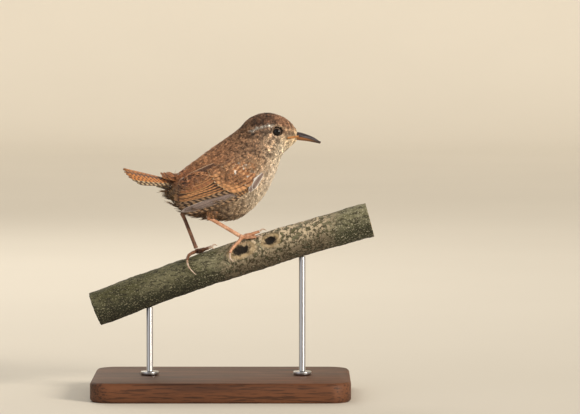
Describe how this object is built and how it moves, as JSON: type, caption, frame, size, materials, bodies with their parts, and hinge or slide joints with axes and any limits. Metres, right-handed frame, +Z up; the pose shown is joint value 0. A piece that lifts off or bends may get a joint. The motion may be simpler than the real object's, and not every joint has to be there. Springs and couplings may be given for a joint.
{
  "type": "wren",
  "caption": "Life-size wren in full feather, standing along a cut branch that two rods hold over a flat wooden base.",
  "frame": {"origin": "Middle of the base's flat underside.", "axes": "+X is the way the bird faces, +Y is its left side, +Z is up."},
  "size_m": [0.131, 0.074, 0.1299],
  "materials": {
    "plumage": "soft barred brown feathers",
    "head_plumage": "soft streaked brown feathers",
    "wing_feathers": "satin barred rufous feathers",
    "tail_feathers": "satin barred rufous feathers",
    "bill_dark": "smooth dark horn",
    "bill_pale": "smooth pale horn",
    "eye": "wet black gloss",
    "leg_skin": "scaled pinkish skin",
    "claw": "smooth pale horn",
    "bark": "rough olive grey bark",
    "base_wood": "satin stained wood",
    "rod_steel": "brushed"
  },
  "bodies": {
    "root": {"torso": "plumage", "neck": "plumage", "head": "head_plumage", "bill_upper": "bill_dark", "bill_lower": "bill_pale", "tail": "tail_feathers", "eye_right": "eye", "wing_right": "wing_feathers", "thigh_right": "plumage", "shank_right": "leg_skin", "foot_right": "leg_skin", "claw_right_hallux": "claw", "claw_right_inner": "claw", "claw_right_middle": "claw", "claw_right_outer": "claw", "eye_left": "eye", "wing_left": "wing_feathers", "thigh_left": "plumage", "shank_left": "leg_skin", "foot_left": "leg_skin", "claw_left_hallux": "claw", "claw_left_inner": "claw", "claw_left_middle": "claw", "claw_left_outer": "claw", "perch": "bark", "stand_base": "base_wood", "stand_rod_1": "rod_steel", "stand_rod_2": "rod_steel"}
  },
  "joints": []
}
